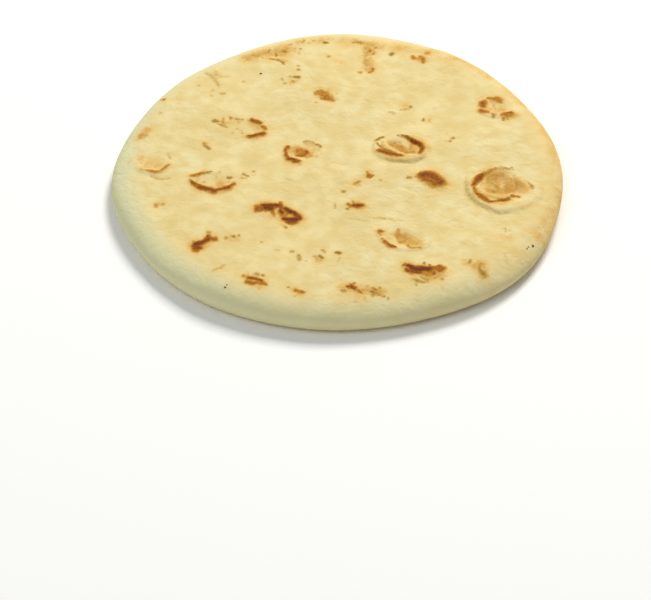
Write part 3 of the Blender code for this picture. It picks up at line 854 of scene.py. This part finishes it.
    (0.40, (-43.3, -45.9, 0.7)),
    (0.30, (-41.4, -44.4, 0.4)),
    (0.50, (-40.4, -44.9, 0.6)),
    (0.38, (-38.5, -44.3, 0.6)),
    (0.14, (-41.5, -47.3, 0.7), (-38.5, -47.4, 0.6)),
    (0.26, (-29.6, -47.7, 0.6)),
    (0.26, (-24.2, -52, 0.4), (-23.2, -52, 0.5)),
    (0.34, (-18.2, -52.8, 0.8)),
    (0.38, (-15.6, -55.2, 0.7), (-15.2, -57.3, 0.8)),
    (0.20, (-13, -58.3, 0.6)),
    (0.28, (-10.2, -55.8, 0.5), (-9.4, -55.5, 0.5)),
    (0.58, (-8, -55.4, 0.5), (-7, -56.4, 0.6)),
    (0.36, (-6.6, -52.4, 0.6), (-5.8, -53.2, 0.5)),
    (0.72, (-1.4, -53.8, 0.7), (-0.5, -54.1, 0.7)),
    (0.14, (0, -56.5, 0.5), (-1, -59.5, 0.6)),
    (0.24, (-8.8, -57, 0.6), (-8.8, -58, 0.4)),
    (0.20, (-43.4, -61.2, 0.7), (-44.6, -62.6, 0.7), (-47.6, -64.4, 0.6)),
    (0.44, (48.7, -58.8, 0.5), (48.3, -59.9, 0.5)),
    (0.30, (52.3, -60.8, 0.4), (53, -60.5, 0.5), (53.8, -61, 0.3)),
    (0.50, (52.2, -61.5, 0.3), (52.1, -62.6, 0.4), (52.8, -64.3, 0.7), (53.6, -65.5, 0.8)),
    (0.20, (50.2, -61.3, 0.6), (50.2, -63, 0.6)),
    (0.20, (62.3, -40.3, 0.4), (63.4, -40.2, 0.4), (62.8, -42, 0.4)),
    (0.22, (64.6, -41.4, 0.6)),
    (0.16, (76.2, -38.4, 0.7)),
    (0.12, (62.3, -54, 0.7), (62.2, -58.5, 0.8)),
)

# %% Warm blushes
BLUSHES = (
    # Round the scorches, where the skin only turned gold.
    (0.35, (-30, -31.2, 1.8), (-26, -32.6, 2)),
    (0.60, (-22, -29.5, 2.4), (-18.5, -33, 2.6), (-19, -36.5, 2)),
    (0.45, (-22, -37, 1.2)),
    (0.40, (33, -5.4, 1.2), (37, -5.8, 1.2)),
    (0.55, (33.5, -10, 3.4), (38.5, -13, 3.4)),
    (0.60, (24, -62, 2.0), (30, -65.5, 2.6), (37, -65, 3.2)),
    (0.45, (28, -68.5, 2), (37, -68, 2.4)),
    (0.60, (-34.6, -67.8, 1.6), (-31, -69.6, 2.4), (-28.4, -70.8, 1.8)),
    (0.40, (-34.5, -65.2, 1.0)),
    (0.40, (-30, -73, 1.4)),
    (0.55, (0, -73.4, 1.8), (5, -73.6, 2.6), (9.5, -75.2, 2.4), (15, -75.5, 2.0)),
    (0.30, (4, -77, 2.0), (9, -78, 2.0)),
    (0.45, (-17.6, -74.4, 1.4), (-14.6, -76.4, 1.6)),
    (0.45, (-54.5, -53.6, 1.6), (-51.5, -50.4, 1.6), (-49, -48.4, 1.5)),
    (0.30, (-43, -46, 2.0), (-39, -46, 2.0)),
    (0.50, (-8, 43, 2.8), (-4, 40.4, 2.8)),
    (0.35, (-8.2, 47, 1.2), (-4, 46.2, 1.2)),
    (0.35, (4, -28.2, 1.2), (8, -26.5, 2.0)),
    (0.70, (52.8, -61.5, 2.4), (53.4, -65.4, 2.0)),
    (0.42, (47, -60, 2), (51, -62, 2)),
    (0.32, (12, -6.4, 2), (12.5, -9.6, 2)),
    (0.32, (5.8, -14, 1.6), (7.4, -14.4, 1.4)),
    (0.35, (-8, -58, 2.4)),
    (0.30, (27.5, 36.4, 2.2)),
    (0.25, (35.5, 27, 2.4)),
    (0.30, (-54, 12, 1.8), (-51.6, 8.6, 1.2)),
    # Inside and along the blisters.
    (0.36, (17.4, 12, 0.9), (17.3, 10.7, 0.9), (18.5, 9, 0.9), (22, 6, 0.9), (24.5, 4.5, 0.8)),
    (0.80, (21, 10.6, 1.6), (23, 9.6, 1.8), (24.6, 7.4, 1.4)),
    (0.60, (21.5, 10, 2.6), (25, 8.5, 3.4), (29, 8, 3.2)),
    (0.62, (16, 4.8, 1.6), (20, 3.4, 2.0), (25, 2.6, 1.5)),
    (0.52, (29, 14.4, 1.9), (33.6, 10.4, 2.1), (34.4, 6.4, 1.9)),
    (0.30, (25, 1.4, 1.2), (29, 1.4, 1.4), (32.4, 3, 1.0)),
    (0.82, (60, -9, 4.2), (61, -13.5, 5.5), (66, -15, 5.0)),
    (0.62, (69, -12, 3.0), (71.5, -17, 3.0)),
    (0.75, (58, -16.6, 1.8), (62, -16.6, 2.2)),
    (0.34, (55.4, -13, 1.0), (55.2, -16, 1.0)),
    (0.40, (56.4, -20.8, 1.0), (60, -22, 1.0), (64, -22, 1.0), (67, -20.8, 0.9)),
    (0.50, (53.4, -10.5, 2.0), (52.6, -16, 1.2), (55.6, -23, 1.8), (62.5, -25.4, 2.0), (66.5, -23.6, 1.4)),
    (0.48, (59.5, 34.4, 1.8), (61.5, 33.4, 1.4)),
    (0.50, (59.4, 38.4, 2.2), (64, 40.4, 2.4), (67, 39.4, 1.6)),
    (0.42, (63.5, 33, 3), (66.5, 34, 3)),
    (0.55, (65, 29.4, 1.8), (69, 29, 2.4), (72, 29.6, 1.6)),
    (0.85, (-16.6, 6.2, 3.2), (-13.6, 5.2, 2.8)),
    (0.55, (-19.8, 8.4, 1.6), (-20, 4.6, 1.6), (-17, 1, 1.8)),
    (0.40, (-18, -1.6, 1.2), (-16, -2, 1.0)),
    (0.42, (-12.6, 11, 2.0), (-9.6, 8, 2.2)),
    (0.45, (-53, -16, 1.6), (-49, -17.8, 1.6), (-44, -16.4, 1.6)),
    (0.38, (-56.6, -15.6, 1.2), (-55.5, -9.4, 1.2), (-53, -5.6, 1.0)),
    (0.42, (-47, -13, 1.8), (-43.4, -13, 1.8)),
    (0.38, (-46.5, -19, 1.2), (-43.4, -18, 1.2)),
    (0.45, (-76, -2, 2.4), (-72, -2.4, 3.0)),
    (0.38, (-79, 2.6, 1.6), (-78.8, -1.6, 1.0), (-78.6, -4, 0.9)),
    (0.30, (-75, -5, 1.2), (-70.6, -4.6, 1.2)),
    (0.35, (-36, 24.4, 1.4), (-33, 22.6, 1.8), (-33.4, 20, 1.6)),
    (0.42, (-35, 15, 1.2), (-33, 15, 1.2), (-31, 16, 1.0)),
    (0.38, (-48.2, 25.6, 1.2), (-45, 24.6, 1.6), (-41, 25.4, 1.6)),
    (0.62, (23.4, -47.6, 2.2), (27, -49.4, 1.8)),
    (0.62, (22.6, -44, 2.0), (25.6, -45.6, 2.6), (29, -48, 2.2)),
    (0.34, (19, -46.6, 1.4), (20.5, -49, 1.2)),
    # Along the back and the right edge.
    (0.52, (-38, 69, 3.0), (-33, 71, 3.8), (-27, 72.6, 4.2), (-22, 74, 4.2)),
    (0.65, (-36, 70.6, 1.2)),
    (0.65, (-32.6, 71.2, 1.2), (-30.6, 72.6, 1.0)),
    (0.70, (-26.4, 73.8, 1.6), (-24, 72.6, 1.4), (-22, 75, 1.4)),
    (0.42, (-20, 77.6, 2.8), (-15.5, 80.4, 3.0), (-10, 81.6, 2.6), (-3, 82, 2.4)),
    (0.65, (-17.6, 79.6, 1.4), (-15, 81, 1.4)),
    (0.55, (-16, 79.4, 1.8)),
    (0.32, (0, 81, 3.6), (8, 80, 4.2), (15, 78.6, 4.4), (24, 76, 4.0), (34, 73, 3.6), (46, 67, 3.4)),
    (0.50, (7, 80.6, 1.8), (14, 77.6, 1.8)),
    (0.55, (12, 75.6, 2.2), (13, 72, 2.6), (12.4, 66, 2.4), (13, 60.5, 2.6)),
    (0.40, (17, 75.6, 1.8), (18.8, 76.6, 1.4)),
    (0.35, (-1, 66, 1.6), (1, 65, 1.6)),
    (0.55, (33.6, 69.4, 2.6), (36, 66.6, 2.2), (37.6, 72.4, 2.0)),
    (0.40, (-28, 67.6, 1.4), (-24.4, 67.4, 1.4), (-22.4, 66, 1.2)),
    (0.36, (-19.6, 53.4, 1.4), (-19.8, 50.4, 1.2), (-16.6, 53.4, 1.2)),
    (0.20, (-52.4, 58.6, 2.4), (-51, 55, 2.0)),
    (0.35, (40, 74, 3), (55, 65, 3), (68, 52, 3)),
    (0.34, (58, 64, 3), (70, 50, 3.6), (80, 34, 4.6), (87, 14, 5.4), (88, -6, 5.8), (84, -26, 5.2), (76, -42, 4)),
    (0.16, (76, -42, 3.6), (66, -56, 3.6), (52, -66, 3.0)),
    (0.42, (-80, 15.6, 2.0), (-77.6, 19.6, 2.2)),
    (0.34, (-70.6, -26, 1.8), (-69, -26, 1.6)),
    (0.30, (59, -44.6, 2.6), (64, -45.4, 2.4)),
    (0.22, (60, -52, 3.0), (65, -54, 3.0)),
)

toasted = np.zeros(len(points))
singed_and_shade = np.zeros(len(points))
blushed = np.zeros(len(points))
for strength, *stops in BLISTER_TOAST + SCORCHES:
    line = smooth_line(stops)
    toasted = np.maximum(toasted, strength * stroke(frayed, line + (0, 0, 0.3), 3))
    blushed = np.maximum(blushed, 0.75 * strength * stroke(frayed, line * (1, 1, 1.4) + (0, 0, 1.3)))
# The singed list also holds painted shade at the foot of the lips; it adds a faint blush there too.
for strength, *stops in SINGED_AND_SHADE:
    line = smooth_line(stops)
    singed_and_shade = np.maximum(singed_and_shade, strength * stroke(frayed, line + (0, 0, 0.22)))
    blushed = np.maximum(blushed, 0.55 * strength * stroke(frayed, line * (1, 1, 1.4) + (0, 0, 0.9)))
for strength, *stops in BLUSHES:
    blushed = np.maximum(blushed, strength * stroke(frayed, smooth_line(stops) * (1, 1, 1.25)))
print("toasted:", round(100 * float((toasted > 0.25).sum() / (top_share > 0).sum()), 1), "percent of the top")

# %% [markdown]
# ## The pale rim and the underside
# The rim never faced the roof or the floor of the oven, so it stays the colour of dough. Its pale,
# grey-green tone is also painted light and shade: it lightens the shoulder and greys the rim, more
# on the left than on the right. The underside lay on the hot floor: it is flat, with shallow pits
# where steam held it off, and it carries many small scorches, strewn evenly. Their places are
# random, but drawn with a fixed seed, so the loaf comes out the same each time.

# %% Rim and underside
SCORCHES_BELOW = 95
PITS_BELOW = 46
WARM_SIDE = math.radians(5)

below = 1 - smooth_step((points[:, 2] - 0.0002) / (0.6 * WAIST_HEIGHT))
# The pale tone is painted light and shade as well as dough colour: it lightens the shoulder and greys the rim,
# strongest on the left and weakest on the right.
warm_side = np.cos(np.arctan2(points[:, 1], points[:, 0]) - WARM_SIDE)
paled_and_painted_light = smooth_step((loaf_radius / LOAF_RADIUS - 0.86) / 0.12) * (1 - below) * (0.62 - 0.4 * warm_side)
# Low on the rim a faint blush: partly browning from the oven floor, partly painted shade under the rim.
heel = 0.15 * smooth_step(1 - points[:, 2] / (0.8 * WAIST_HEIGHT))
blushed = np.maximum(blushed * (1 - below), heel * (points[:, 2] > 0.0001))
singed_and_shade *= 1 - below
toasted *= 1 - below
chance = np.random.default_rng(11)


def random_place(reach):
    """A place under the loaf, in mm, with even chances all over."""
    distance = reach * math.sqrt(chance.random())
    turn = 2 * math.pi * chance.random()
    return np.array([distance * math.cos(turn), distance * math.sin(turn)])


for _ in range(SCORCHES_BELOW):
    stops = [[*random_place(84), chance.uniform(0.6, 1.9)]]
    for _ in range(2):
        stops.append(stops[-1] + chance.normal(0, (1.4, 1.4, 0.3)))
    line = np.maximum(smooth_line(stops), (-99, -99, 0.5))
    toasted = np.maximum(toasted, chance.uniform(0.3, 0.9) * stroke(frayed, line) * below)
    blushed = np.maximum(blushed, 0.4 * stroke(frayed, line * (1, 1, 2.2)) * below)

pitted = np.zeros(len(points))
for _ in range(PITS_BELOW):
    middle = random_place(80)
    size = chance.uniform(2.5, 7)
    inside = np.clip(1 - (((frayed - middle) / size) ** 2).sum(1), 0, 1)
    pitted = np.maximum(pitted, chance.uniform(0.15, 0.5) * inside**1.5)
flat_below = below * (points[:, 2] < 0.0005)
points[:, 2] += MM * pitted * flat_below
set_points(loaf, points)

# The third channel, the pale rim, also carries painted light on the shoulder and painted shade on the rim.
bake = loaf.data.color_attributes.new(name="bake", type="FLOAT_COLOR", domain="POINT")
bake.data.foreach_set("color", np.column_stack((toasted, blushed, paled_and_painted_light, np.ones(len(points)))).ravel())
# This channel carries the singed skin and the painted shade at the foot of the lips.
singe_and_shade = loaf.data.attributes.new(name="singe_and_shade", type="FLOAT", domain="POINT")
singe_and_shade.data.foreach_set("value", singed_and_shade)
print("pits below, mm:", round(float(pitted.max()), 2))

# %% [markdown]
# ## Lay the loaf in its box
# The outline's waves move the middle of the box a little off the middle of the disc. The packed
# loaf has the middle of its box at the origin, so the detailed one is moved there too, points and
# all, which leaves its object at the origin.

# %% Centre the loaf
points = points_of(loaf)
shift = (np.array(loaf_low + loaf_high) - points.min(0) - points.max(0)) / 2
shift[2] = 0
set_points(loaf, points + shift)
bpy.ops.object.select_all(action="DESELECT")
loaf.select_set(True)
bpy.context.view_layer.objects.active = loaf
bpy.ops.object.shade_smooth()
loaf.vertex_groups.clear()
print("shift, mm:", [round(v, 2) for v in shift / MM])
print("loaf, mm:", [round(v, 2) for v in (points.max(0) - points.min(0)) / MM])

# %% [markdown]
# ## The crust
# Baked dough is matt: its skin dried before it could turn glossy, and a trace of flour lies on
# it. The colour has layers, and the material builds them in the order in which they came about:
# plain dough with a soft mottle, the paler rim, which also paints light on the shoulder and shade
# on the rim, the blush, the singed skin with the painted shade at the foot of the lips, and the
# toast with its ramp from gold to dark brown. Noise frays each layer, so that the attribute's
# smooth edges break up. Sizes of the patterns are real ones, in metres.

# %% A node with its settings and links
def add_node(tree, kind, inputs=None, stops=(), **settings):
    """Inputs may be numbers, colours or other nodes' outputs, and stops are those of a ramp."""
    node = tree.nodes.new("ShaderNode" + kind)
    for name, value in settings.items():
        setattr(node, name, value)
    for place, (position, colour) in enumerate(stops):
        if place > 1:
            node.color_ramp.elements.new(position)
        node.color_ramp.elements[place].position = position
        node.color_ramp.elements[place].color = colour
    for socket, value in (inputs or {}).items():
        if isinstance(value, bpy.types.NodeSocket):
            tree.links.new(value, node.inputs[socket])
        else:
            node.inputs[socket].default_value = value
    return node


# %% Colours of toasted and of singed skin, and of painted shade
TOASTED_COLOURS = (
    (0.04, linear("#d8a860", 0)),
    (0.20, linear("#c2933f", 0.6)),
    (0.30, linear("#c18c39", 0.85)),
    (0.40, linear("#bb812f", 0.97)),
    (0.50, linear("#b07328")),
    (0.65, linear("#9a5b21")),
    (0.80, linear("#824517")),
    (1.00, linear("#662d0c")),
)
# One drab ramp for singed skin and for the painted shade at the foot of the lips.
SINGED_AND_SHADE_COLOURS = (
    (0.04, linear("#c9ac66", 0)),
    (0.20, linear("#b18e47", 0.55)),
    (0.34, linear("#b08d45", 0.95)),
    (0.50, linear("#a2803c")),
    (0.70, linear("#886322")),
    (1.00, linear("#6a3c14")),
)

# %% Baked flatbread crust
# Matt, pale and uneven: the eye reads it as dry, soft and freshly baked.
crust = bpy.data.materials.new("baked_flatbread_crust")
crust.use_nodes = True
tree = crust.node_tree
shader = tree.nodes["Principled BSDF"]
place = add_node(tree, "TexCoord").outputs["Object"]
layers = add_node(tree, "SeparateColor", {"Color": add_node(tree, "Attribute", attribute_name="bake").outputs["Color"]})
toast, blush, pale_and_painted_light = layers.outputs
singe_and_shade = add_node(tree, "Attribute", attribute_name="singe_and_shade").outputs["Fac"]

broad = add_node(tree, "TexNoise", {"Vector": place, "Scale": 1 / 0.022, "Detail": 2})
patches = add_node(tree, "TexNoise", {"Vector": place, "Scale": 1 / 0.013, "Detail": 1})
fine = add_node(tree, "TexNoise", {"Vector": place, "Scale": 1 / 0.006, "Detail": 2, "Roughness": 0.5})
calm = add_node(tree, "TexNoise", {"Vector": place, "Scale": 1 / 0.035, "Detail": 1})
grain = add_node(tree, "TexNoise", {"Vector": place, "Scale": 1 / 0.0012, "Detail": 2})
speck = add_node(tree, "TexNoise", {"Vector": place, "Scale": 1 / 0.0011, "Detail": 2, "Roughness": 0.6})

broad_share = add_node(tree, "MapRange", {"Value": broad.outputs["Fac"], "From Min": 0.35, "From Max": 0.65})
fine_share = add_node(tree, "MapRange", {"Value": fine.outputs["Fac"], "From Min": 0.38, "From Max": 0.68, "To Max": 0.8})
patch_share = add_node(tree, "MapRange", {"Value": patches.outputs["Fac"], "From Min": 0.42, "From Max": 0.68, "To Max": 0.8})
dough = add_node(
    tree,
    "Mix",
    {0: broad_share.outputs[0], 6: linear("#ebd89f"), 7: linear("#e9d9a6")},
    data_type="RGBA",
)
dough = add_node(tree, "Mix", {0: patch_share.outputs[0], 6: dough.outputs[2], 7: linear("#e1cc91")}, data_type="RGBA")
dough = add_node(tree, "Mix", {0: fine_share.outputs[0], 6: dough.outputs[2], 7: linear("#dfc686")}, data_type="RGBA")
# The pale rim: dough colour, with painted light on the shoulder and painted shade on the rim.
dough = add_node(tree, "Mix", {0: pale_and_painted_light, 6: dough.outputs[2], 7: linear("#e0dbb1")}, data_type="RGBA")

unrest = add_node(tree, "Math", {0: speck.outputs["Fac"], 1: 1.4, 2: -0.75}, operation="MULTIPLY_ADD")
blush_share = add_node(tree, "Math", {0: fine.outputs["Fac"], 1: 2.2, 2: unrest.outputs[0]}, operation="MULTIPLY_ADD")
blush_share = add_node(tree, "Math", {0: blush_share.outputs[0], 1: blush}, operation="MULTIPLY")
blush_ramp = add_node(
    tree,
    "ValToRGB",
    {"Fac": blush_share.outputs[0]},
    [
        (0.00, linear("#ecce8e", 0)),
        (0.20, linear("#e6c47e", 0.5)),
        (0.45, linear("#dcb165", 0.9)),
        (0.95, linear("#c3944b")),
    ],
)
blushing = add_node(
    tree,
    "Mix",
    {0: blush_ramp.outputs["Alpha"], 6: dough.outputs[2], 7: blush_ramp.outputs["Color"]},
    data_type="RGBA",
)

fray = add_node(tree, "Math", {0: speck.outputs["Fac"], 1: 0.5}, operation="SUBTRACT")
colour = blushing
for strength, speckle, stops in (
    (singe_and_shade, 0.5, SINGED_AND_SHADE_COLOURS),
    (toast, 0.55, TOASTED_COLOURS),
):
    edge = add_node(tree, "MapRange", {"Value": strength, "From Min": 0.02, "From Max": 0.3, "To Max": speckle})
    share = add_node(tree, "Math", {0: fray.outputs[0], 1: edge.outputs[0], 2: strength}, operation="MULTIPLY_ADD")
    ramp = add_node(tree, "ValToRGB", {"Fac": share.outputs[0]}, stops)
    colour = add_node(
        tree,
        "Mix",
        {0: ramp.outputs["Alpha"], 6: colour.outputs[2], 7: ramp.outputs["Color"]},
        data_type="RGBA",
    )
tree.links.new(colour.outputs[2], shader.inputs["Base Color"])

# Toasted skin is a little smoother than floury skin.
roughness = add_node(tree, "MapRange", {"Value": toast, "To Min": 0.75, "To Max": 0.55})
tree.links.new(roughness.outputs[0], shader.inputs["Roughness"])
shader.inputs["Specular IOR Level"].default_value = 0.05

depth = add_node(
    tree,
    "MapRange",
    {"Value": calm.outputs["Fac"], "From Min": 0.35, "From Max": 0.65, "To Min": 0.14, "To Max": 0.46},
)
creases = add_node(tree, "TexNoise", {"Vector": place, "Scale": 1 / 0.0028, "Detail": 3, "Distortion": 0.5})
height = add_node(tree, "Math", {0: creases.outputs["Fac"], 1: depth.outputs[0]}, operation="MULTIPLY")
height = add_node(tree, "Math", {0: grain.outputs["Fac"], 1: 0.14, 2: height.outputs[0]}, operation="MULTIPLY_ADD")
bump = add_node(tree, "Bump", {"Height": height.outputs[0], "Distance": MM, "Strength": 1})
tree.links.new(bump.outputs[0], shader.inputs["Normal"])

loaf.data.materials.clear()
loaf.data.materials.append(crust)
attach(loaf, "root")
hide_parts("pita_bread")

# %% [markdown]
# ## Burnt crumbs
# Bits of flour that fell on the oven floor turn to char, and a few stick to the next loaf. They
# are no bigger than three quarters of a millimetre, and uneven. Each starts as a small sphere of triangles,
# whose points are shaken before all of them are joined to one piece.

# %% Crumbs of char
CRUMBS = (
    # place on the loaf in mm, size in mm
    ((-32.3, 57.6), 0.75),
    ((72.7, -48.2), 0.80),
    ((71.2, -49.0), 0.45),
    ((70.5, -49.8), 0.45),
    ((-42.7, -72.4), 0.55),
    ((-42.2, -71.9), 0.40),
)

loaf_points = points_of(loaf)
bpy.ops.object.select_all(action="DESELECT")
crumbs = []
for place_on_loaf, size in CRUMBS:
    spot = np.array(place_on_loaf) * MM + shift[:2]
    upper = loaf_points[:, 2] > WAIST_HEIGHT
    nearest = np.argmin(np.hypot(*(loaf_points[:, :2] - spot).T) + ~upper)
    bpy.ops.mesh.primitive_ico_sphere_add(subdivisions=2, radius=size * MM, location=loaf_points[nearest])
    crumb = bpy.context.object
    bpy.ops.object.transform_apply(location=True, rotation=False, scale=False)
    grain_points = points_of(crumb)
    middle = grain_points.mean(0)
    unrest = np.array([0.7 + 0.6 * noise.noise(p / (0.6 * size * MM)) for p in grain_points])
    set_points(crumb, middle + (grain_points - middle) * unrest[:, None] * (1, 0.75, 0.6))
    crumbs.append(crumb)
for crumb in crumbs:
    crumb.select_set(True)
bpy.context.view_layer.objects.active = crumbs[0]
bpy.ops.object.join()
bpy.context.object.name = "charred_crumbs"

# Char is nearly black and dull, so a crumb reads as a hard dark dot.
char = bpy.data.materials.new("charred_flour")
char.use_nodes = True
tree = char.node_tree
shader = tree.nodes["Principled BSDF"]
place = add_node(tree, "TexCoord").outputs["Object"]
soot = add_node(tree, "TexNoise", {"Vector": place, "Scale": 1 / 0.0003, "Detail": 2})
tone = add_node(
    tree, "Mix", {0: soot.outputs["Fac"], 6: linear("#241a10"), 7: linear("#5a3f24")}, data_type="RGBA"
)
tree.links.new(tone.outputs[2], shader.inputs["Base Color"])
shader.inputs["Roughness"].default_value = 0.85
bpy.context.object.data.materials.append(char)
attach(bpy.context.object, "root")
print("crumbs:", len(bpy.context.object.data.polygons), "triangles")
